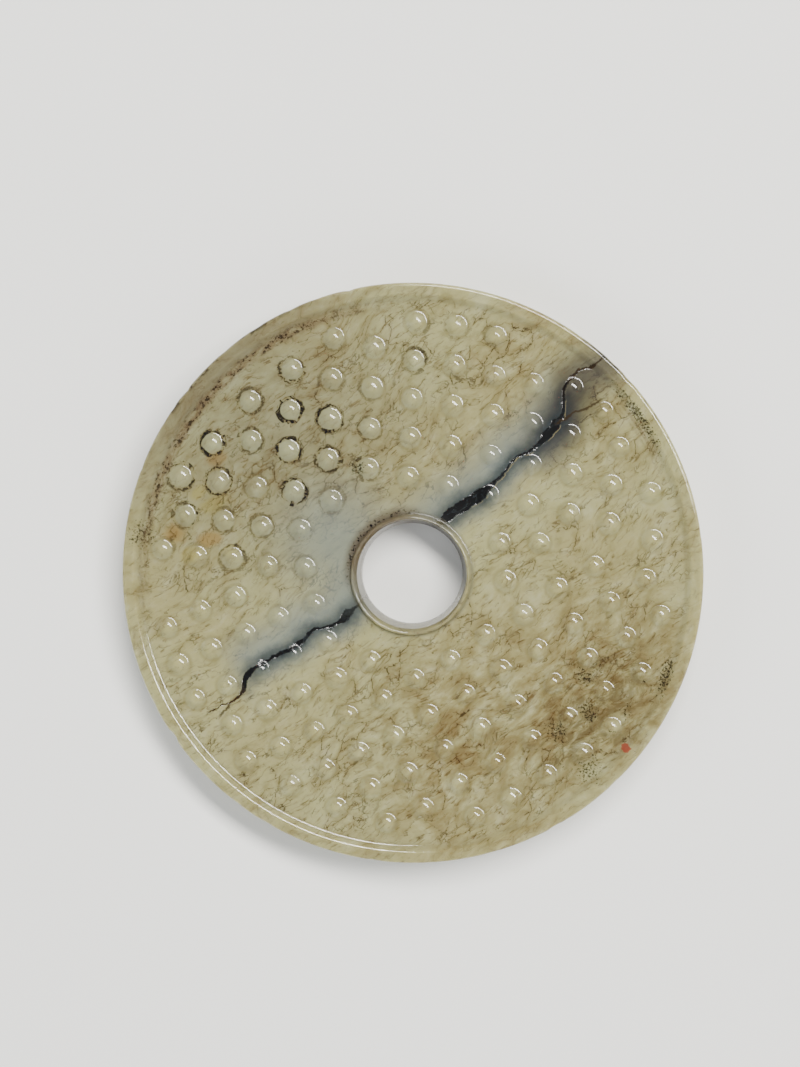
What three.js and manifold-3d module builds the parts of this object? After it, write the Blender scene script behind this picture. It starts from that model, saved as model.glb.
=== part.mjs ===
// A jade bi disc: a flat ring of nephrite carved in one piece, lying on its back, with its axis on +Z.
// Each face has a narrow flat rim, a thin lip round the bore and, sunk between the two, a field covered
// with rows of low domed grains. Millimetres, with the origin under the middle of the disc.

import * as THREE from 'three';
import { mergeVertices } from 'three/addons/utils/BufferGeometryUtils.js';
import Module from 'manifold-3d';

// The disc
const DISC_RADIUS = 29;
const THICKNESS = 5.2;
const TURNS = 64;                // facets round the disc
const EDGE_WEAR = 0.25;          // rounding where the outer wall meets each rim
const RIM_WIDTH = 1.05;          // flat band of the rim, rounding included
const FIELD_DEPTH = 0.45;        // how far the field is ground down below the rim and the lip
const SHOULDER_WIDTH = 0.5;      // slope from the rim or the lip down to the field

// The bore, drilled from both faces, so that it is narrowest half way through
const BORE_WAIST_RADIUS = 5.0;
const BORE_MOUTH_RADIUS = 5.45;
const MOUTH_WEAR = 0.2;          // rounding where the bore meets the lip
const LIP_WIDTH = 0.45;          // flat band of the lip, rounding included

// A grain: a low dome with one bend in its side
const GRAIN_RADIUS = 1.07;
const GRAIN_HEIGHT = 0.4;
const BEND_RADIUS = 0.8;
const GRAIN_ROOT = 0.15;         // how far its side runs on below the field
const FRONT_GRAIN_SIDES = 8;
const BACK_GRAIN_SIDES = 6;

// Rows of grains. Each group of rows has its first grain, the step to the next grain in the row, the
// step to the next row, and the sector of the face that it fills, in degrees from +X towards +Y.
const FRONT_ROWS = [
  { first: [4.1, 16.8], along: [4.0, -0.9], across: [-0.2, -4.0], start: 12, sweep: 129 },
  { first: [-18.7, 5.3], along: [3.7, -0.5], across: [0.4, -3.9], start: 108, sweep: 70 },
  { first: [5.4, -11.9], along: [3.6, 2.3], across: [1.5, -3.4], start: 266, sweep: 101 },
  { first: [19.1, -3.4], along: [3.3, 1.3], across: [1.8, -4.1], start: 358, sweep: 58 },
  { first: [-17.8, -15.2], along: [3.4, 1.6], across: [-1.2, 3.8], start: 178, sweep: 110 },
];
const BACK_ROWS = [
  { first: [0, 12], along: [4.6, 0], across: [2.3, 4.0], start: 0, sweep: 360 },
];
const ROW_REACH = 13;            // more steps than any row needs from its first grain
const ROW_CLEARANCE = 2.7;       // a grain nearer than this to one of an earlier group is left out
const GRAIN_SPACING = 3.9;       // grains nearer than this to each other are eased apart
const EASING_ROUNDS = 12;
const EASING_SHARE = 0.25;       // how much of the shortfall each grain gives way in a round
const LIP_MARGIN = 3.0;          // from the foot of the lip to the centre of the nearest grain
const RIM_MARGIN = 2.35;         // from the foot of the rim to the centre of the nearest grain
const STRAY = 0.8;               // a grain this far inside a margin is still eased back into the field

const LIP_RADIUS = BORE_MOUTH_RADIUS + LIP_WIDTH;
const RIM_RADIUS = DISC_RADIUS - RIM_WIDTH;
const FIELD_START = LIP_RADIUS + SHOULDER_WIDTH;
const FIELD_END = RIM_RADIUS - SHOULDER_WIDTH;
const FIRST_GRAINS = FIELD_START + LIP_MARGIN;
const LAST_GRAINS = FIELD_END - RIM_MARGIN;
const FIELD_HEIGHT = THICKNESS / 2 - FIELD_DEPTH;

const wasm = await Module();
wasm.setup();

function solidFrom(geometry) {
  geometry.deleteAttribute('normal');
  geometry.deleteAttribute('uv');
  const welded = mergeVertices(geometry);
  return new wasm.Manifold(new wasm.Mesh({
    numProp: 3,
    vertProperties: Float32Array.from(welded.attributes.position.array),
    triVerts: Uint32Array.from(welded.index.array),
  }));
}

function geometryFrom(solid) {
  const { vertProperties, triVerts } = solid.getMesh();
  const geometry = new THREE.BufferGeometry();
  geometry.setAttribute('position', new THREE.BufferAttribute(vertProperties, 3));
  geometry.setIndex(new THREE.BufferAttribute(triVerts, 1));
  geometry.computeVertexNormals();
  return geometry;
}

// A section of [radius, height] points, turned about +Z
function turned(section, sides) {
  const points = section.map(([radius, height]) => new THREE.Vector2(radius, height));
  return new THREE.LatheGeometry(points, sides).rotateX(Math.PI / 2);
}

// Half of the disc's section, from the outer wall over the face to the waist of the bore
function faceSection() {
  const top = THICKNESS / 2;
  return [
    [DISC_RADIUS, top - EDGE_WEAR],
    [DISC_RADIUS - EDGE_WEAR, top],
    [RIM_RADIUS, top],
    [FIELD_END, FIELD_HEIGHT],
    [FIELD_START, FIELD_HEIGHT],
    [LIP_RADIUS, top],
    [BORE_MOUTH_RADIUS + MOUTH_WEAR, top],
    [BORE_MOUTH_RADIUS, top - MOUTH_WEAR],
    [BORE_WAIST_RADIUS, 0],
  ];
}

// The ring before its grains, with both faces alike, centred on the origin
function ring() {
  const upper = faceSection();
  const lower = upper.slice(0, -1).reverse().map(([radius, height]) => [radius, -height]);
  return solidFrom(turned([...upper, ...lower, upper[0]], TURNS));
}

function grainSection() {
  return [
    [0, -GRAIN_ROOT],
    [GRAIN_RADIUS + GRAIN_ROOT, -GRAIN_ROOT],
    [BEND_RADIUS, GRAIN_RADIUS - BEND_RADIUS],
    [0, GRAIN_HEIGHT],
  ];
}

// The places of one group of rows, in its own sector of the field
function rowPlaces({ first, along, across, start, sweep }) {
  const places = [];
  for (let row = -ROW_REACH; row <= ROW_REACH; row += 1) {
    for (let step = -ROW_REACH; step <= ROW_REACH; step += 1) {
      const x = first[0] + step * along[0] + row * across[0];
      const y = first[1] + step * along[1] + row * across[1];
      const radius = Math.hypot(x, y);
      const bearing = THREE.MathUtils.radToDeg(Math.atan2(y, x));
      const inSector = sweep === 360 || THREE.MathUtils.euclideanModulo(bearing - start, 360) < sweep;
      if (inSector && radius > FIRST_GRAINS - STRAY && radius < LAST_GRAINS + STRAY) {
        places.push(new THREE.Vector2(x, y));
      }
    }
  }
  return places;
}

// How far a grain gives way to the neighbours that crowd it
function easing(place, places) {
  const shift = new THREE.Vector2();
  for (const other of places) {
    const distance = place.distanceTo(other);
    if (other !== place && distance < GRAIN_SPACING) {
      const away = place.clone().sub(other).setLength((GRAIN_SPACING - distance) * EASING_SHARE);
      shift.add(away);
    }
  }
  return shift;
}

// The centres of a face's grains
function grainPlaces(groups) {
  let places = [];
  for (const group of groups) {
    const earlier = places;
    const free = (place) => earlier.every((other) => place.distanceTo(other) > ROW_CLEARANCE);
    places = [...earlier, ...rowPlaces(group).filter(free)];
  }
  for (let round = 0; round < EASING_ROUNDS; round += 1) {
    const crowded = places;
    places = crowded.map((place) => place.clone().add(easing(place, crowded))
      .clampLength(FIRST_GRAINS, LAST_GRAINS));
  }
  return places;
}

// A face's grains, joined to the ring. The back's are turned over about X
function withGrains(ringSolid, groups, sides, turnOver) {
  let carved = ringSolid;
  for (const place of grainPlaces(groups)) {
    const geometry = turned(grainSection(), sides);
    geometry.translate(place.x, place.y, FIELD_HEIGHT);
    geometry.rotateX(turnOver);
    carved = carved.add(solidFrom(geometry));
  }
  return carved;
}

function biDisc() {
  const front = withGrains(ring(), FRONT_ROWS, FRONT_GRAIN_SIDES, 0);
  const carved = withGrains(front, BACK_ROWS, BACK_GRAIN_SIDES, Math.PI);
  const jade = new THREE.MeshStandardMaterial({
    color: 0xa39b80,
    roughness: 0.32,
    metalness: 0,
    flatShading: true,
  });
  const mesh = new THREE.Mesh(geometryFrom(carved), jade);
  mesh.name = 'jade_bi_disc';
  mesh.position.z = THICKNESS / 2;
  return mesh;
}

const model = new THREE.Group();
model.add(biDisc());
export default model;
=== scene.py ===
"""A jade bi disc, lying face up: a flat carved ring of crackled grey-green nephrite.

The frame's solid gives the disc's radius and thickness. Other sizes of the disc are in millimetres, and MM
turns them into the frame's metres. The studio round it is in metres.
"""

import math
import random

import bmesh
import bpy
from mathutils import Matrix, Vector


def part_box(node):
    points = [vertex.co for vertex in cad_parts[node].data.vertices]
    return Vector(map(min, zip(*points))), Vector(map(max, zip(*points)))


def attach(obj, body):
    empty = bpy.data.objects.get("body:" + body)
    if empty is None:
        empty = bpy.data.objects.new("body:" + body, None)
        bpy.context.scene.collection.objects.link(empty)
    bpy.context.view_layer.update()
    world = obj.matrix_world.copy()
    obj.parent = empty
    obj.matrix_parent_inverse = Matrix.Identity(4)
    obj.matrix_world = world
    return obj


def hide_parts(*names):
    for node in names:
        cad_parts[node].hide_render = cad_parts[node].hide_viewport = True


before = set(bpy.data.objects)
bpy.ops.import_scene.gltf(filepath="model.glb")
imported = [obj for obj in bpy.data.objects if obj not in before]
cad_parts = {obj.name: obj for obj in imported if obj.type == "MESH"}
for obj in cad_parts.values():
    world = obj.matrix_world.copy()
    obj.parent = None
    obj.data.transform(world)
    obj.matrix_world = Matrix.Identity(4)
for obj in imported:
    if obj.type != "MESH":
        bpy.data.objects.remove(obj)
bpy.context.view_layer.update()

MM = 0.001
SMALLEST = 1e-7                 # two points nearer than this, in metres, are one
NODE = "jade_bi_disc"
LOW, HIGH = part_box(NODE)
RADIUS = (HIGH.x - LOW.x - SMALLEST) / 2 / MM
THICKNESS = (HIGH.z - LOW.z) / MM
TOP = THICKNESS

# The ring
FIELD_DEPTH = 0.45
EDGE_WEAR = 0.35                # the radius of the worn outer edge
RIM_TOP = 28.0
RIM_FOOT = 27.1
LIP_FOOT = 6.15
LIP_CREST = 5.76
CREST_HALF = 0.06               # half the width of the crest's flat top
LIP_SKEW = 0.2                  # how far the lip's crest leans, inwards on the upper right side
LIP_BEARING = 45
MOUTH_RADIUS = 5.45
MOUTH_DROP = 0.26
WAIST_RADIUS = 5.03
TURNS = 320
BORE_TURNS = 192
SLOPE_STEPS = 10
EDGE_STEPS = 6
BROW_STEPS = 7

# Nicks in the upper edge. A group: how many, and the ranges of their bearing, half width and depth
NICK_GROUPS = (
    (14, (98, 172), (0.4, 0.9), (0.02, 0.07)),
    (16, (0, 360), (0.4, 0.8), (0.02, 0.05)),
)
LARGE_NICKS = ((214.5, 0.8, 0.14), (300, 0.7, 0.08))
NICK_DROP = 0.5                 # how far a nick lowers the edge, as a share of its depth
CHANCE_SEED = 7

# A grain's section: a round cap, a short straight side and a hollow foot
CAP_RADIUS = 1.2
SIDE_ANGLE = 33
SIDE_LENGTH = 0.26
FOOT_RADIUS = 0.5
GROUND_REACH = 1.6              # the ground ring round a grain ends here
GRAIN_WIDTHS = (0.95, 1.05)     # how grains vary, as shares of the section
GRAIN_SQUASHES = (0.96, 1.04)
GRAIN_HEIGHTS = (0.92, 1.0)
FRONT_CUTS = dict(sides=26, cap_steps=6, foot_steps=6)
BACK_CUTS = dict(sides=16, cap_steps=4, foot_steps=3)

# Rows of grains on each face: the first grain, the step along a row, the step to the next row, and the
# sector of the face that they fill, in degrees
FRONT_ROWS = (
    dict(first=(4.1, 16.8), along=(4.0, -0.9), across=(-0.2, -4.0), start=12, sweep=129),
    dict(first=(-18.7, 5.3), along=(3.7, -0.5), across=(0.4, -3.9), start=108, sweep=70),
    dict(first=(5.4, -11.9), along=(3.6, 2.3), across=(1.5, -3.4), start=266, sweep=101),
    dict(first=(19.1, -3.4), along=(3.3, 1.3), across=(1.8, -4.1), start=358, sweep=58),
    dict(first=(-17.8, -15.2), along=(3.4, 1.6), across=(-1.2, 3.8), start=178, sweep=110),
)
BACK_ROWS = (dict(first=(0, 12), along=(4.6, 0), across=(2.3, 4.0), start=0, sweep=360),)
ROW_REACH = 13                  # rows and steps tried on each side of the first grain
ROW_CLEARANCE = 2.7             # a grain nearer than this to an earlier group's is left out
GRAIN_SPACING = 3.9             # grains nearer than this give way to each other
EASING_ROUNDS = 12
EASING_SHARE = 0.25
FIRST_GRAINS = 9.4              # the radii that the grains' centres stay between
LAST_GRAINS = 25.1
STRAY = 0.8                     # places up to this far past those radii are kept and drawn in


# ---------------------------------------------------------------- the places of the grains

def row_places(first, along, across, start, sweep):
    """Every place of one group of rows that lies in its own sector of the field."""
    places = []
    for row in range(-ROW_REACH, ROW_REACH + 1):
        for step in range(-ROW_REACH, ROW_REACH + 1):
            place = Vector(first) + step * Vector(along) + row * Vector(across)
            bearing = math.degrees(math.atan2(place.y, place.x))
            in_sector = sweep == 360 or (bearing - start) % 360 < sweep
            if in_sector and FIRST_GRAINS - STRAY < place.length < LAST_GRAINS + STRAY:
                places.append(place)
    return places


def easing(place, places):
    """How far a grain gives way to the neighbours that crowd it."""
    shift = Vector((0, 0))
    for other in places:
        gap = place - other
        if 0 < gap.length < GRAIN_SPACING:
            shift += gap.normalized() * (GRAIN_SPACING - gap.length) * EASING_SHARE
    return shift


def grain_places(groups):
    """The centres of a face's grains, in millimetres."""
    places = []
    for group in groups:
        earlier = list(places)
        for place in row_places(**group):
            if all((place - other).length > ROW_CLEARANCE for other in earlier):
                places.append(place)
    for _ in range(EASING_ROUNDS):
        moved = [place + easing(place, places) for place in places]
        places = [place.normalized() * min(max(place.length, FIRST_GRAINS), LAST_GRAINS)
                  for place in moved]
    return places


# ---------------------------------------------------------------- sections, as [radius, height] in mm

def arc(centre, radius, start, end, steps):
    """Points on an arc, with angles in degrees."""
    points = []
    for step in range(steps + 1):
        angle = math.radians(start + (end - start) * step / steps)
        points.append((centre[0] + radius * math.cos(angle), centre[1] + radius * math.sin(angle)))
    return points


def slope(start, end, drop, steps):
    """A slope that is level at both ends, from (start, 0) down to (end, -drop)."""
    points = []
    for step in range(steps + 1):
        share = step / steps
        points.append((start + (end - start) * share, -drop * share * share * (3 - 2 * share)))
    return points


def rim_section():
    """From the field's edge over the rim and down the outer wall, with heights from the rim's top."""
    rise = slope(RIM_TOP, RIM_FOOT, FIELD_DEPTH, SLOPE_STEPS)[::-1]
    edge = arc((RADIUS - EDGE_WEAR, -EDGE_WEAR), EDGE_WEAR, 90, 0, EDGE_STEPS)
    wall = [(RADIUS, -THICKNESS / 2 * share) for share in (0.35, 0.6)]
    flat = [(RIM_TOP + (RADIUS - EDGE_WEAR - RIM_TOP) * share, 0) for share in (0.33, 0.66)]
    return rise + flat + edge + wall


def lip_section():
    """From the field's edge over the lip and down towards the waist of the bore."""
    rise = slope(LIP_CREST + CREST_HALF, LIP_FOOT, FIELD_DEPTH, SLOPE_STEPS)[::-1]
    brow = slope(LIP_CREST - CREST_HALF, MOUTH_RADIUS, MOUTH_DROP, BROW_STEPS)
    throat = [(MOUTH_RADIUS + (WAIST_RADIUS - MOUTH_RADIUS) * share,
               -MOUTH_DROP - (THICKNESS / 2 - MOUTH_DROP) * share) for share in (0.08, 0.25, 0.5, 0.75)]
    return rise + brow + throat


def lean_lip(vert):
    """Leans the lip's crest inwards on one side of the bore and outwards on the other."""
    radius = vert.co.xy.length / MM
    if vert.co.z > (TOP - FIELD_DEPTH) * MM and MOUTH_RADIUS < radius < LIP_FOOT:
        rise = (radius - MOUTH_RADIUS) / (LIP_CREST - MOUTH_RADIUS)
        fall = (LIP_FOOT - radius) / (LIP_FOOT - LIP_CREST)
        share = min(rise, fall, 1)
        bearing = math.atan2(vert.co.y, vert.co.x)
        lean = LIP_SKEW * math.cos(bearing - math.radians(LIP_BEARING)) * share
        vert.co.xy *= (radius - lean) / radius


def edge_nicks(chance):
    """The upper edge's nicks, each as [bearing in degrees, half width, depth]."""
    nicks = []
    for count, bearings, widths, depths in NICK_GROUPS:
        for _ in range(count):
            nicks.append((chance.uniform(*bearings), chance.uniform(*widths), chance.uniform(*depths)))
    return nicks + list(LARGE_NICKS)


def nick_edge(vert, nicks):
    """Takes small nicks out of the disc's upper edge."""
    radius = vert.co.xy.length / MM
    if vert.co.z > TOP / 2 * MM and radius > RIM_TOP:
        bearing = math.degrees(math.atan2(vert.co.y, vert.co.x))
        for middle, width, depth in nicks:
            turn = (bearing - middle + 180) % 360 - 180
            reach = abs(math.radians(turn)) * RADIUS / width
            if reach < 1:
                bite = depth * (1 - reach * reach) * (radius - RIM_TOP) / (RADIUS - RIM_TOP)
                vert.co.xy *= (radius - bite) / radius
                vert.co.z -= bite * NICK_DROP * MM


def bent(start, radius, start_angle, end_angle, steps):
    """Points on an arc that runs on from a start, from one downward angle to another, without the start."""
    points = []
    for step in range(1, steps + 1):
        angle = math.radians(start_angle + (end_angle - start_angle) * step / steps)
        across = abs(math.sin(angle) - math.sin(math.radians(start_angle)))
        down = abs(math.cos(angle) - math.cos(math.radians(start_angle)))
        points.append((start[0] + radius * across, start[1] - radius * down))
    return points


def grain_section(cap_steps, foot_steps):
    """From the top of a grain to the edge of the ground ring round it, with heights from the ground."""
    points = [(0, 0)]
    points += bent(points[-1], CAP_RADIUS, 0, SIDE_ANGLE, cap_steps)
    edge, height = points[-1]
    points.append((edge + SIDE_LENGTH, height - SIDE_LENGTH * math.tan(math.radians(SIDE_ANGLE))))
    points += bent(points[-1], FOOT_RADIUS, SIDE_ANGLE, 0, foot_steps)
    reach, floor = points[-1]
    points += [(reach + (GROUND_REACH - reach) * share, floor) for share in (0.4, 1)]
    return [(radius, height - floor) for radius, height in points]


# ---------------------------------------------------------------- the carving

def strand(bm, section):
    """A chain of edges along a section, standing out from the upright axis."""
    points = [bm.verts.new((radius * MM, 0, height * MM)) for radius, height in section]
    return points + [bm.edges.new(pair) for pair in zip(points, points[1:])]


def turned(section, steps):
    """A section spun once round the upright axis, as a mesh of its own."""
    bm = bmesh.new()
    bmesh.ops.spin(bm, geom=strand(bm, section), cent=(0, 0, 0), axis=(0, 0, 1), angle=math.tau,
                   steps=steps, use_merge=True)
    bmesh.ops.remove_doubles(bm, verts=bm.verts, dist=SMALLEST)
    return bm


def through(section, middle_radius):
    """A face's section carried on through the disc to the other face."""
    front = [(radius, TOP + height) for radius, height in section]
    back = [(radius, -height) for radius, height in reversed(section)]
    return front + [(middle_radius, THICKNESS / 2)] + back


def add_copy(bm, part, matrix):
    """Adds a part to the disc, put in place by a matrix, and returns its points."""
    count = len(bm.verts)
    mesh = bpy.data.meshes.new("part")
    part.to_mesh(mesh)
    mesh.transform(matrix)
    bm.from_mesh(mesh)
    bpy.data.meshes.remove(mesh)
    bm.verts.ensure_lookup_table()
    return bm.verts[count:]


def carve_face(bm, groups, side, base, cuts, chance):
    """A face's grains, and the field that joins them to the rim and the lip.

    The side is 1 for the upper face and -1 for the lower, and the base is the height of its field.
    """
    grain = turned(grain_section(cuts["cap_steps"], cuts["foot_steps"]), cuts["sides"])
    reach = bm.verts.layers.float["grain_reach"]
    tone = bm.verts.layers.float["grain_tone"]
    for place in grain_places(groups):
        width = chance.uniform(*GRAIN_WIDTHS)
        squash = chance.uniform(*GRAIN_SQUASHES)
        turn = Matrix.Rotation(chance.uniform(0, math.tau), 4, "Z")
        size = Matrix.Diagonal((width * squash, width / squash, side * chance.uniform(*GRAIN_HEIGHTS), 1))
        shift = Matrix.Translation(Vector((place.x, place.y, base)) * MM)
        grain_tone = chance.random()
        for vert in add_copy(bm, grain, shift @ turn @ size):
            vert[reach] = (vert.co.xy / MM - place).length / width
            vert[tone] = grain_tone
    grain.free()
    level = base * MM
    open_edges = [edge for edge in bm.edges if edge.is_boundary
                  and all(abs(vert.co.z - level) < SMALLEST * 10 for vert in edge.verts)]
    bmesh.ops.triangle_fill(bm, use_beauty=True, edges=open_edges, normal=(0, 0, side))


def carved_disc():
    """The whole disc, with each point's distance from its grain and the grain's tone kept for the finish."""
    bm = bmesh.new()
    reach = bm.verts.layers.float.new("grain_reach")
    bm.verts.layers.float.new("grain_tone")
    rim = through(rim_section(), RADIUS)
    lip = through(lip_section(), WAIST_RADIUS)
    for section, steps in ((rim, TURNS), (lip, BORE_TURNS)):
        band = turned(section, steps)
        for vert in add_copy(bm, band, Matrix.Identity(4)):
            vert[reach] = GROUND_REACH
        band.free()
    chance = random.Random(CHANCE_SEED)
    nicks = edge_nicks(chance)
    for vert in bm.verts:
        lean_lip(vert)
        nick_edge(vert, nicks)
    carve_face(bm, FRONT_ROWS, 1, TOP - FIELD_DEPTH, FRONT_CUTS, chance)
    carve_face(bm, BACK_ROWS, -1, FIELD_DEPTH, BACK_CUTS, chance)
    bmesh.ops.recalc_face_normals(bm, faces=bm.faces)
    for face in bm.faces:
        face.smooth = True
    mesh = bpy.data.meshes.new("carved_jade_disc")
    bm.to_mesh(mesh)
    bm.free()
    disc = bpy.data.objects.new("carved_jade_disc", mesh)
    bpy.context.scene.collection.objects.link(disc)
    return disc


# ---------------------------------------------------------------- shader sums

class Reading:
    """A value read somewhere on the stone, or a colour or a point. Sums on values add Math nodes."""

    def __init__(self, finish, socket):
        self.finish = finish
        self.socket = socket

    def sum(self, operation, *others):
        return self.finish.node("Math", dict(enumerate((self, *others))), operation=operation)

    def __add__(self, other):
        return self.sum("ADD", other)

    __radd__ = __add__

    def __sub__(self, other):
        return self.sum("SUBTRACT", other)

    def __rsub__(self, other):
        return self.finish.node("Math", {0: other, 1: self}, operation="SUBTRACT")

    def __mul__(self, other):
        return self.sum("MULTIPLY", other)

    __rmul__ = __mul__

    def __truediv__(self, other):
        return self.sum("DIVIDE", other)

    def __rtruediv__(self, other):
        return self.finish.node("Math", {0: other, 1: self}, operation="DIVIDE")

    def __pow__(self, other):
        return self.sum("POWER", other)

    def __abs__(self):
        return self.sum("ABSOLUTE")


class Finish:
    """A material, built up from its node tree."""

    def __init__(self, name):
        self.material = bpy.data.materials.new(name)
        self.material.use_nodes = True
        self.tree = self.material.node_tree
        self.shader = self.tree.nodes["Principled BSDF"]
        self.place = self.node("VectorMath", {0: self.node("TexCoord", output="Object"), "Scale": 1 / MM},
                               operation="SCALE")
        self.x, self.y, self.z = self.node("SeparateXYZ", {0: self.place}, every=True)

    def feed(self, socket, value):
        if isinstance(value, Reading):
            self.tree.links.new(value.socket, socket)
        else:
            socket.default_value = value

    def node(self, kind, sockets=None, output=0, curve=None, every=False, **settings):
        """Adds a node: its settings first, then its curve, then what its sockets hold."""
        made = self.tree.nodes.new("ShaderNode" + kind)
        for name, value in settings.items():
            setattr(made, name, value)
        if curve:
            line = made.mapping.curves[0]
            for position, height in curve[1:-1]:
                line.points.new(position, height)
            for point, (position, height) in zip(line.points, curve):
                point.location = (position, height)
            made.mapping.update()
        for name, value in (sockets or {}).items():
            self.feed(made.inputs[name], value)
        if every:
            return [Reading(self, socket) for socket in made.outputs]
        return Reading(self, made.outputs[output])

    def point(self, x, y, z):
        return self.node("CombineXYZ", {0: x, 1: y, 2: z})

    def step(self, value, low, high):
        """Nothing below low, all above high, and a smooth rise between them."""
        return self.node("MapRange", {"Value": value, "From Min": low, "From Max": high},
                         interpolation_type="SMOOTHSTEP")

    def noise(self, point, scale, detail=2.0, roughness=0.5, distortion=0.0):
        return self.node("TexNoise", {"Vector": point, "Scale": scale, "Detail": detail,
                                      "Roughness": roughness, "Distortion": distortion})

    def mix(self, base, top, share):
        """A colour with some of another laid over it."""
        return self.node("Mix", {0: share, 6: base, 7: top}, output=2, data_type="RGBA")

    def patch(self, x, y, radius, stretch=1.0, turn=0.0):
        """A soft round patch of the face: all in the middle, nothing past its radius."""
        cos = math.cos(math.radians(turn))
        sin = math.sin(math.radians(turn))
        along = (self.x - x) * cos + (self.y - y) * sin
        across = (self.y - y) * cos - (self.x - x) * sin
        length = (along * along / (stretch * stretch) + across * across) ** 0.5
        return 1 - self.step(length, 0, radius)

    def patches(self, *shapes):
        """Soft patches added up, each given as its strength and then as patch() takes it."""
        parts = [self.patch(*shape) * strength for strength, *shape in shapes]
        return sum(parts[1:], parts[0])


def shade(red, green, blue):
    """A colour given as it looks, from 0 to 255, turned into light."""
    return tuple((value / 255) ** 2.2 for value in (red, green, blue)) + (1,)


# ---------------------------------------------------------------- the jade's colours and courses

PALE = shade(146, 144, 104)
WARM = shade(134, 125, 84)
LIGHT = shade(160, 159, 126)
DULL = shade(112, 104, 66)
GREY = shade(92, 92, 76)
PALER_GRAIN = shade(150, 154, 122)
ORANGE = shade(134, 106, 52)
YELLOW = shade(144, 134, 72)
RED = shade(128, 58, 40)
RUST = shade(92, 70, 36)
STROKE = shade(46, 32, 12)
CRACK = shade(40, 28, 12)
HAZE = shade(112, 119, 113)
SMOKE = shade(40, 46, 48)
MURK = shade(70, 66, 60)
THUNDER = shade(38, 36, 34)
# A painted highlight: the glint on the lip of the crack beside the vein
CRACK_GLINT = shade(136, 124, 84)
BLACK = shade(2, 3, 3)
STAIN = shade(72, 58, 30)
PEPPER = shade(16, 12, 4)
DIRT = shade(16, 12, 6)
RIM_DUST = shade(92, 76, 54)
RIM_DIRT = shade(30, 22, 12)
RIM_GREY = shade(92, 84, 66)
EDGE_DARK = shade(24, 18, 10)
LIP_DUST = shade(100, 96, 76)
LIP_DIRT = shade(78, 68, 54)
# Painted shade in the bore, and the deeper painted shade of its upper right wall
BORE_SHADE = shade(60, 58, 46)
BORE_SHADOW = shade(20, 20, 16)

CRACKLE_BEARING = 38            # the crackle runs this way across the stone, in degrees
VEIN_BEARING = 42
VEIN_START = -26.0              # how far the vein's course is given, along its bearing
VEIN_END = 30.0
VEIN_SPREAD = 5.0               # no course goes further than this from the disc's middle line
VEIN_HALF = 1.0                 # nor is half the vein thicker than this

# The vein's course: [distance along its bearing, distance to the upper left of the disc's middle line]
VEIN_COURSE = (
    (-26, 3.4), (-24.6, 3.2), (-23, 2.9), (-21.6, 2.5), (-20, 2.8), (-18.9, 3.45), (-17.2, 3.3),
    (-15.2, 2.9), (-13, 2.4), (-11.6, 2.5), (-10.1, 1.9), (-8.3, 1.3), (-6, 1.35), (0, 1.8), (6.4, 1.9),
    (8.6, 1.6), (10.7, 1.33), (12.8, 1.3), (15.4, 1.7), (17.5, 1.2), (19.3, 1.35), (21.2, 1.6), (23.1, 3.0),
    (25.1, 4.0), (27.9, 3.3), (30, 3.4),
)
# Its half thickness along the same course
VEIN_THICKNESS = (
    (-26, 0.04), (-21.5, 0.1), (-20, 0.26), (-18.9, 0.3), (-17.2, 0.14), (-13, 0.2), (-10.5, 0.12),
    (-8.6, 0.16), (-7.6, 0.42), (-6.6, 0.2), (-5, 0.1), (5, 0.2), (6.8, 0.5), (9.5, 0.6), (11.2, 0.36),
    (12.6, 0.14), (15, 0.07), (17.6, 0.12), (19.4, 0.4), (20.6, 0.36), (21.6, 0.2), (24, 0.14), (30, 0.06),
)
# The course of its two brown branches, one at each end
BRANCH_COURSE = (
    (-26, 1.6), (-24, 2.1), (-22.8, 2.3), (-21.6, 2.6), (20.4, 1.5), (22.6, 1.2), (24, 0.65), (25.5, 0.4),
    (30, 0),
)

# Yellow and orange spots in the stone: [x, y, radius, colour]
SPOTS = (
    (-19.4, 11.6, 1.3, ORANGE), (-19.6, 7.1, 1.9, YELLOW), (-21.2, 8.2, 1.2, YELLOW),
    (-23.6, 4.1, 1.7, ORANGE), (-20.2, 3.5, 1.4, ORANGE), (-22, 1.9, 1.3, YELLOW), (-18.1, 2.2, 1.0, YELLOW),
)


# ---------------------------------------------------------------- the jade

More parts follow.
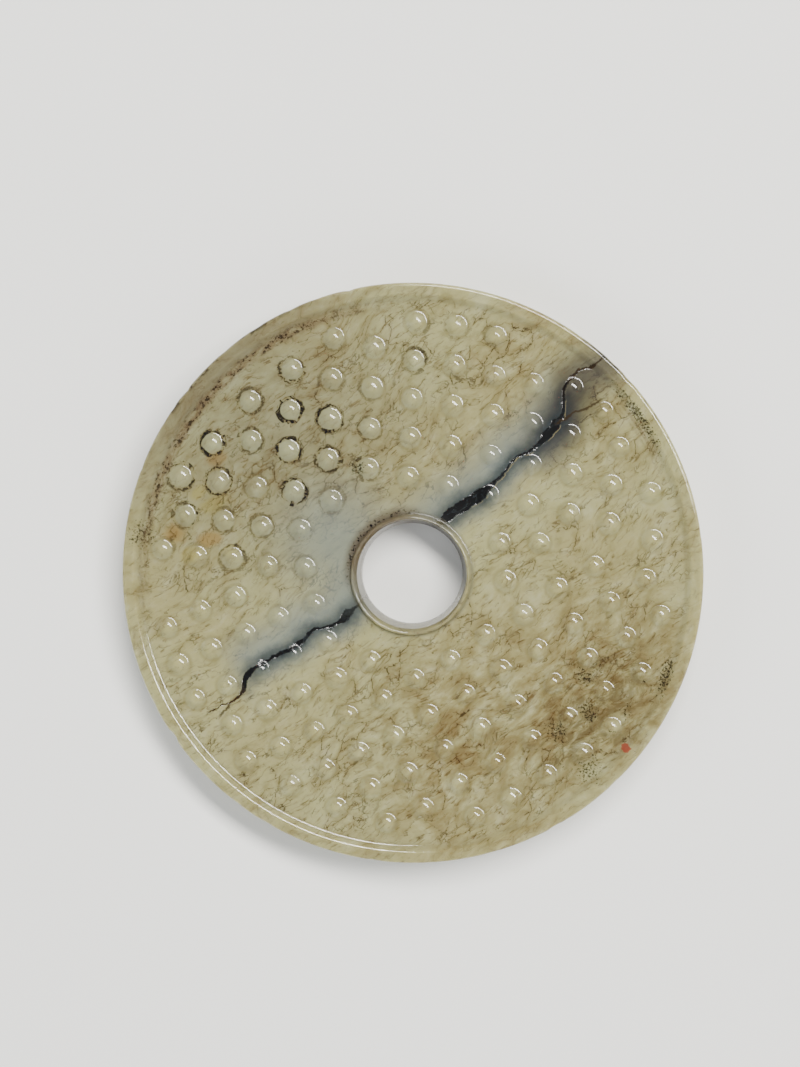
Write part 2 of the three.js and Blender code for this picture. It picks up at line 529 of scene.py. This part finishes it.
class Jade(Finish):
    """The jade's finish: the readings that its layers share, and the colour that they build up."""

    def __init__(self, name):
        super().__init__(name)
        self.colour = PALE
        self.read_places()
        self.read_noises()
        self.read_strokes()
        self.read_vein()

    def lay(self, colour, share):
        """Lays a share of a colour over what is there."""
        self.colour = self.mix(self.colour, colour, share)

    def along_bearing(self, bearing):
        """The distances along a bearing and to the left of it."""
        cos = math.cos(math.radians(bearing))
        sin = math.sin(math.radians(bearing))
        return self.x * cos + self.y * sin, self.y * cos - self.x * sin

    def drawn(self, along, across, depth=1.0):
        """The place on the stone, scaled along and across the crackle and through the stone."""
        return self.point(self.along * along, self.across * across, self.z * depth)

    def read_places(self):
        self.radius = (self.x * self.x + self.y * self.y) ** 0.5
        self.along, across = self.along_bearing(CRACKLE_BEARING)
        self.across = across + (self.noise(self.place, 0.11, 1) - 0.5) * 4
        self.reach = self.node("Attribute", attribute_name="grain_reach", output="Fac")
        self.tone = self.node("Attribute", attribute_name="grain_tone", output="Fac")
        self.on_grain = 1 - self.step(self.reach, 0.95, 1.25)
        self.plain = (1 - self.step(self.radius, 26.9, 27.5) * 0.65) * (1 - self.on_grain * 0.45)
        # The bore's wall, painted in shade, and its upper right side, painted in deeper shade and made
        # rougher
        self.bore = self.step(self.radius, 5.7, 5.35)
        self.shaded_wall = self.bore * self.step(self.x + self.y, 1.0, 5.0)

    def read_noises(self):
        self.clouds = self.noise(self.place, 0.1, 3, 0.55)
        self.drift = self.noise(self.drawn(0.6, 1), 0.7, 4, 0.6, 0.3)
        self.gather = self.noise(self.drawn(0.45, 0.8, 0.5), 0.9, 3, 0.6)
        self.bend = self.noise(self.drawn(0.55, 0.8, 0.6), 1.0, 5, 0.62)
        self.small = self.noise(self.drawn(1.2, 1.9, 1.2), 1.0, 3, 0.6)
        self.dirt = self.noise(self.place, 3.2, 3, 0.7)
        self.bloom = self.patches((1, 19, -11, 15), (0.6, 8, -17, 13), (0.5, -14, 16, 20), (0.4, 2, -10, 8),
                                  (0.4, 14, 18, 14), (0.6, 0, -20, 13)).sum("MINIMUM", 1)

    def read_strokes(self):
        """Wavy edges along the crackle, and the hair lines on them."""
        flow_place = self.point(self.along * 0.4 + 9, self.across * 0.8, self.z * 0.5)
        flow = self.noise(flow_place, 1.0, 3, 0.5, 0.2)
        self.edge = 1 - (self.across * 0.9 + flow * 3.0 + self.small * 0.5).sum("FRACT")
        hair_place = self.step(self.gather + (self.small - 0.5) * 0.7, 0.46, 0.56)
        self.hair = self.edge ** 16 * hair_place * self.plain

    def read_vein(self):
        """Where the vein, its branches and its ends are."""
        jitter = (self.noise(self.place, 0.9, 4, 0.65) - 0.5) * 0.9
        self.vein_along, left = self.along_bearing(VEIN_BEARING)
        self.offset = left - self.along_vein(VEIN_COURSE, VEIN_SPREAD) + jitter
        self.branch = left - self.along_vein(BRANCH_COURSE, VEIN_SPREAD) + jitter
        self.thickness = self.along_vein(VEIN_THICKNESS, VEIN_HALF)
        self.near = self.step(self.vein_along, -22, -17) * (1 - self.step(self.vein_along, 21, 25))
        start = self.step(self.vein_along, -25.4, -24)
        self.core = (1 - self.step(abs(self.offset) - self.thickness, -0.06, 0.1)) * start

    def along_vein(self, points, tallest):
        """A value that follows the vein, from points given in millimetres."""
        length = VEIN_END - VEIN_START
        share = (self.vein_along - VEIN_START) / length
        curve = [((position - VEIN_START) / length, height / tallest) for position, height in points]
        return self.node("FloatCurve", {"Value": share}, curve=curve) * tallest


def clouded_ground(stone):
    """Broad clouds, from greyer green to a yellower brown, and smaller drifts along the crackle."""
    stone.lay(WARM, stone.step(stone.clouds, 0.38, 0.64) * 0.5)
    stone.lay(LIGHT, stone.step(stone.drift, 0.5, 0.75) * 0.6)
    stone.lay(DULL, stone.step(stone.drift, 0.5, 0.28) * 0.5)
    stone.lay(RUST, stone.bloom * stone.step(stone.drift, 0.66, 0.34) * 0.6)


def spots(stone):
    """Yellow and orange spots with ragged edges, and the greyer upper left."""
    for x, y, radius, colour in SPOTS:
        ragged = stone.patch(x, y, radius * 1.2, 1.4, 25) + (stone.drift - 0.5) * 1.4
        stone.lay(colour, stone.step(ragged, 0.3, 0.9) * 0.75)
    stone.lay(GREY, stone.patch(-14, 14, 24) * 0.5)


def fur(stone):
    """Small dashes along the crackle, and a brown shade where they gather."""
    fur_place = stone.point(stone.along * 0.9 + stone.bend * 2, stone.across * 3.3, stone.z * 1.5)
    hairs = stone.noise(fur_place, 1.0, 2, 0.55, 0.3)
    dashes = stone.step(hairs, 0.52, 0.68) * stone.step(stone.gather, 0.34, 0.62) * stone.plain
    stone.lay(RUST, dashes * (0.3 + stone.bloom * 0.3))
    stone.lay(STROKE, stone.step(hairs, 0.6, 0.72) * stone.step(stone.gather, 0.4, 0.6) * 0.5)


def strokes(stone):
    """Wavy lines along the crackle, each dark on one side and fading on the other."""
    faded = stone.edge ** 4 * stone.step(stone.gather, 0.42, 0.62)
    stone.lay(RUST, faded * (0.25 + stone.bloom * 0.3))
    stone.lay(CRACK, stone.hair * 0.7)


def cracks(stone):
    """Two broken nets of straight-sided lines, the coarser one in a brown bloom."""
    small, bend = stone.small, stone.bend
    net = stone.point(stone.along * 0.42 + small * 0.5, stone.across * 0.85 + small * 0.7 + bend * 0.8,
                      stone.z * 0.4)
    place = stone.step(stone.noise(stone.drawn(0.6, 1), 0.3, 3, 0.6), 0.44, 0.6)
    cell = stone.node("TexVoronoi", {"Vector": net, "Scale": 1.0}, feature="DISTANCE_TO_EDGE")
    line = (1 - stone.step(cell, 0.005, 0.03)) * place * stone.step(small, 0.4, 0.5) * stone.plain
    fine_drawn = stone.point(stone.along * 0.6, stone.across, stone.z + 7)
    fine_place = stone.step(stone.noise(fine_drawn, 0.4, 3, 0.6), 0.46, 0.6)
    fine_cell = stone.node("TexVoronoi", {"Vector": net, "Scale": 2.1}, feature="DISTANCE_TO_EDGE")
    fine_line = (1 - stone.step(fine_cell, 0.01, 0.08)) * fine_place * stone.step(bend, 0.46, 0.56)
    fine_line = fine_line * stone.plain
    stone.lay(RUST, (1 - stone.step(cell, 0.0, 0.25)) * place * (0.25 + stone.bloom * 0.2))
    stone.lay(CRACK, (line * 0.8).sum("MAXIMUM", fine_line * 0.6))


def paler_grains_and_foot_shade(stone):
    """Grains painted paler, most of all in the upper left, with painted shade round their foot."""
    upper_left = stone.patch(-13, 13, 24)
    stone.lay(PALER_GRAIN, stone.on_grain * (0.08 + upper_left * 0.34) * (0.4 + stone.tone * 0.6))
    # Painted shade: a darker ring in the hollow at each grain's foot, the outline that refraction gives the
    # translucent dome
    foot = stone.step(stone.reach, 0.95, 1.2) * (1 - stone.step(stone.reach, 1.2, 1.5))
    stone.lay(DULL, foot * 0.35)


def vein_smoke(stone):
    """The vein's halo, wider on its upper left side, and the darker smoke close to it and at one end."""
    offset = stone.offset
    upper = stone.step(offset, -0.3, 0.3)
    halo = 1 - stone.step(abs(offset), 0, 3.0 + upper * 2.6)
    stone.lay(HAZE, halo * stone.near * (0.75 + stone.gather * 0.4))
    murk = 1 - stone.step(abs(offset + (stone.bend - 0.5) * 1.5 + 0.4), 0.2, 4.2)
    stone.lay(MURK, murk * stone.step(stone.vein_along, 14, 19) * 0.8)
    thunder = stone.patch(15.4, 16.6, 4.2, 1.5, 60) * (0.7 + stone.gather * 0.5)
    stone.lay(THUNDER, thunder * 0.85)
    smoke = 1 - stone.step(abs(offset), stone.thickness * 0.8, stone.thickness + 1.6)
    stone.lay(SMOKE, smoke * stone.near * (0.55 + stone.gather * 0.5))


def vein(stone):
    """The vein itself, black with brown ends, a painted highlight beside it (a thin pale line on its crack's
    lip), and its two branches.
    """
    along = stone.vein_along
    # Painted highlight: a thin pale line on the crack's lip beside the vein, standing in for its glint
    glint_line = 1 - stone.step(abs(stone.offset + stone.thickness + 0.13), 0.01, 0.09)
    glint_line = glint_line * stone.step(stone.bend, 0.42, 0.54) * stone.near
    stone.lay(CRACK_GLINT, glint_line * stone.step(along, 8, 11) * 0.6)
    brown_end = stone.step(along, -19.5, -21.5) + stone.step(along, 22, 26) * 0.8
    black = stone.mix(BLACK, SMOKE, stone.step(stone.small, 0.48, 0.7) * 0.45)
    stone.lay(stone.mix(black, STROKE, brown_end), stone.core)
    first_end = stone.step(along, -21.6, -22.2) * stone.step(along, -24.4, -23.6)
    last_end = stone.step(along, 20.4, 21) * stone.step(along, 27, 25)
    stone.lay(STROKE, (1 - stone.step(abs(stone.branch), 0.04, 0.2)) * (first_end + last_end) * 0.8)


def bore_haze(stone):
    """Blue-grey haze to the bore's upper left."""
    stone.lay(HAZE, stone.patch(-7.5, 3.5, 9) * 0.7)


def stains_and_pepper(stone):
    """Brown stains to the lower right and at the left edge, and pepper there and at the upper right edge."""
    stain = stone.patches((1, 21, -11, 9), (1, 16.5, -16, 8), (0.6, -24, 6, 4))
    mottle = stone.step(stone.noise(stone.drawn(0.8, 1.2), 0.7, 5, 0.7, 0.6), 0.4, 0.62)
    stone.lay(STAIN, (stain * mottle).sum("MINIMUM", 1) * 0.6)
    edge_ring = 1 - stone.step(abs(stone.radius - 27.5), 0.2, 0.7)
    edge_spots = stone.patch(22.6, 16, 5.2, 1.2, -52) * edge_ring * 1.4
    clusters = stone.patches((1, 17, -9.9, 1.4), (1, 17.6, -13.4, 1.7), (1, 14.4, -15.5, 1.6),
                             (1, 17.6, -19.5, 2.1), (1.4, 25.3, -9.9, 1.0, 3.4, 74), (1, -27, 4, 2.2),
                             (1.4, -5.4, 10.6, 1.3))
    scattered = stain * stone.step(stone.noise(stone.place, 0.55, 3, 0.6), 0.53, 0.63) * 0.6
    chance = (scattered + clusters + edge_spots).sum("MINIMUM", 1)
    pepper = stone.noise(stone.place, 4.2, 3, 0.7)
    specks = stone.step(pepper + chance * 0.15, 0.62, 0.7) * stone.step(chance, 0.05, 0.3)
    stone.lay(PEPPER, specks * 0.85)


def red_fleck(stone):
    ragged = stone.patch(21.4, -17.2, 0.8, 0.8, 30) + (stone.dirt - 0.5) * 1.2
    stone.lay(RED, stone.step(ragged, 0.2, 0.4) * 0.9)


def grain_dirt(stone):
    """Broken rings of dirt in the hollow round the grains."""
    reach, dirt = stone.reach, stone.dirt
    wander = reach + (dirt - 0.5) * 0.5 + (stone.small - 0.5) * 0.8
    thick = (stone.noise(stone.place, 0.42, 2, 0.6, 0.5) - 0.42) * 1.3
    ring = 1 - stone.step(abs(wander - 1.27), thick * 0.4, thick + 0.05)
    outer_ring = (1 - stone.step(abs(wander - 1.48), 0.0, 0.07)) * stone.step(stone.bend, 0.46, 0.54)
    place = stone.patches((1.9, -15, 12, 17), (1, 3, 23, 7)).sum("MINIMUM", 1)
    hollow = stone.step(reach, 1.59, 1.5) * stone.step(reach, 0.95, 1.08)
    some_grains = 0.3 + stone.step(stone.tone, 0.1, 0.6) * 0.7
    dirty = ring.sum("MAXIMUM", outer_ring * 0.7) * place * hollow * some_grains
    stone.lay(RUST, dirty * 0.4)
    stone.lay(DIRT, dirty * stone.step(dirt, 0.34, 0.5) * 0.95)


def rim_marks(stone):
    """Streaks at the foot of the rim, a greyer, darker top in the upper left, and a broken dark line low on
    its worn edge.
    """
    radius = stone.radius
    foot = stone.step(radius, 26.1, 26.7) * (1 - stone.step(radius, 27, 27.7))
    place = stone.patches((1.3, -20, 17, 19, 1.6, 50), (0.7, 24, 16, 6)).sum("MINIMUM", 1)
    streak = stone.noise(stone.point(radius * 2.2, stone.along * 0.9, stone.z), 1.0, 4, 0.65)
    stone.lay(RIM_DUST, foot * stone.step(streak, 0.28, 0.56) * place * 0.8)
    stone.lay(RIM_DIRT, foot * stone.step(streak * stone.dirt, 0.26, 0.33) * place * 0.9)
    # A greyer, darker rim top in the upper left
    stone.lay(RIM_GREY, stone.step(radius, 27, 27.7) * stone.patch(-20, 20, 22) * 0.55)
    # A broken dark line low on the worn edge, in the upper left and upper right
    edge_place = stone.patches((1, -19, 21, 16), (0.7, 20, 20, 12))
    edge = stone.step(radius, 28.5, 28.8) * stone.step(stone.z, TOP - 0.45, TOP - 0.2)
    stone.lay(EDGE_DARK, edge * stone.step(stone.gather, 0.48, 0.54) * edge_place * 0.9)


def bore_shade_and_dirt(stone):
    """Painted shade in the bore, deepest on its upper right wall, dust round the lip, and grime over the
    lip's upper left.
    """
    radius = stone.radius
    stone.lay(LIP_DUST, stone.step(radius, 6.5, 6.0) * (0.5 + stone.small * 0.6) * 0.7)
    # Painted shade over the bore's wall, and deeper painted shade on its upper right side
    stone.lay(BORE_SHADE, stone.bore * 0.4)
    stone.lay(BORE_SHADOW, stone.shaded_wall * 0.95)
    side = (stone.patch(-4.6, 4.4, 8) * 1.7).sum("MINIMUM", 1) * stone.step(radius, 7.2, 6.3)
    stone.lay(LIP_DIRT, side * (0.5 + stone.small * 0.6))
    stone.lay(DIRT, side * stone.step(abs(radius - 6.3), 0.4, 0.1) * stone.step(stone.dirt, 0.52, 0.6))


# From the ground up, so that dirt lies over the stone's own marks
LAYERS = (clouded_ground, spots, fur, strokes, cracks, paler_grains_and_foot_shade, vein_smoke, vein, bore_haze,
          stains_and_pepper, red_fleck, grain_dirt, rim_marks, bore_shade_and_dirt)


def jade():
    """The finished stone: its layers of colour, its polish, and the light that soaks into it."""
    stone = Jade("crackled_jade")
    for layer in LAYERS:
        layer(stone)
    polish = 0.05 + stone.drift * 0.06 + stone.hair * 0.1 + stone.core * 0.1 + stone.shaded_wall * 0.4
    uneven = stone.clouds * 0.08 + stone.gather * 0.02 - stone.core * 0.04
    sockets = stone.shader.inputs
    stone.feed(sockets["Base Color"], stone.colour)
    stone.feed(sockets["Roughness"], polish)
    stone.feed(sockets["Normal"], stone.node("Bump", {"Height": uneven, "Strength": 1.0, "Distance": MM}))
    sockets["Subsurface Weight"].default_value = 1.0
    sockets["Subsurface Radius"].default_value = (1.0, 0.95, 0.7)
    sockets["Subsurface Scale"].default_value = 1.6 * MM
    sockets["IOR"].default_value = 1.61
    return stone.material


disc = carved_disc()
disc.data.materials.append(jade())
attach(disc, "root")
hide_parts(NODE)


# ---------------------------------------------------------------- floor, lights and camera

CENTRE = Vector((0, 0, THICKNESS * MM))
FLOOR_HALF = 2                          # half the floor's width
LOW_BOX = dict(height=32, distance=0.95, size=(0.7, 0.7), glint=False)
CAMERA_LENS = 85
CAMERA_DISTANCE = 0.2506
CAMERA_AIM = Vector((-1.1, 4.12, 0))    # from the middle of the disc's upper face, in millimetres
CAMERA_TILT = 4.5                       # how far the camera leans from straight down, in degrees
CAMERA_BEARING = 45                     # and to which side


def softbox(name, bearing, height, distance, size, watts, colour, glint=True):
    """A softbox, as wide and tall as its size says, aimed at the disc from a bearing and a height in degrees.

    Without glint it shows in no gloss.
    """
    bearing = math.radians(bearing)
    height = math.radians(height)
    away = (math.cos(height) * math.cos(bearing), math.cos(height) * math.sin(bearing), math.sin(height))
    location = CENTRE + Vector(away) * distance
    lamp = bpy.data.lights.new(name, "AREA")
    lamp.shape = "RECTANGLE"
    lamp.size, lamp.size_y = size
    lamp.energy = watts
    lamp.color = colour
    lamp_object = bpy.data.objects.new(name, lamp)
    lamp_object.location = location
    lamp_object.rotation_euler = (CENTRE - location).to_track_quat("-Z", "Y").to_euler()
    lamp_object.visible_glossy = glint
    bpy.context.scene.collection.objects.link(lamp_object)


def floor():
    bm = bmesh.new()
    bmesh.ops.create_grid(bm, x_segments=1, y_segments=1, size=FLOOR_HALF)
    mesh = bpy.data.meshes.new("pale_floor")
    bm.to_mesh(mesh)
    bm.free()
    plane = bpy.data.objects.new("pale_floor", mesh)
    bpy.context.scene.collection.objects.link(plane)
    paper = bpy.data.materials.new("pale_paper")
    paper.use_nodes = True
    sockets = paper.node_tree.nodes["Principled BSDF"].inputs
    sockets["Base Color"].default_value = (0.8, 0.8, 0.77, 1)
    sockets["Roughness"].default_value = 0.9
    plane.data.materials.append(paper)


def studio_air():
    """A faint even light from all round."""
    world = bpy.data.worlds.new("studio")
    bpy.context.scene.world = world
    world.use_nodes = True
    sockets = world.node_tree.nodes["Background"].inputs
    sockets["Color"].default_value = (0.93, 0.96, 1, 1)
    sockets["Strength"].default_value = 0.28


def camera():
    """The camera, nearly straight above the disc, with the frame's y axis up in its picture."""
    lens = bpy.data.cameras.new("camera")
    lens.lens = CAMERA_LENS
    eye = bpy.data.objects.new("camera", lens)
    bpy.context.scene.collection.objects.link(eye)
    tilt = math.radians(CAMERA_TILT)
    bearing = math.radians(CAMERA_BEARING)
    aim = CENTRE + CAMERA_AIM * MM
    away = Vector((math.cos(bearing) * math.sin(tilt), math.sin(bearing) * math.sin(tilt), math.cos(tilt)))
    eye.location = aim + CAMERA_DISTANCE * away
    view = (aim - eye.location).normalized()
    side = view.cross(Vector((0, 1, 0))).normalized()
    eye.rotation_euler = Matrix((side, side.cross(view), -view)).transposed().to_euler()
    bpy.context.scene.camera = eye


floor()
softbox("key_softbox", bearing=52, height=59, distance=0.8, size=(0.7, 0.19), watts=16,
        colour=(1, 0.98, 0.94))
softbox("left_softbox", bearing=202, watts=6, colour=(0.95, 0.97, 1), **LOW_BOX)
softbox("front_softbox", bearing=290, watts=5, colour=(0.97, 0.98, 1), **LOW_BOX)
studio_air()
camera()
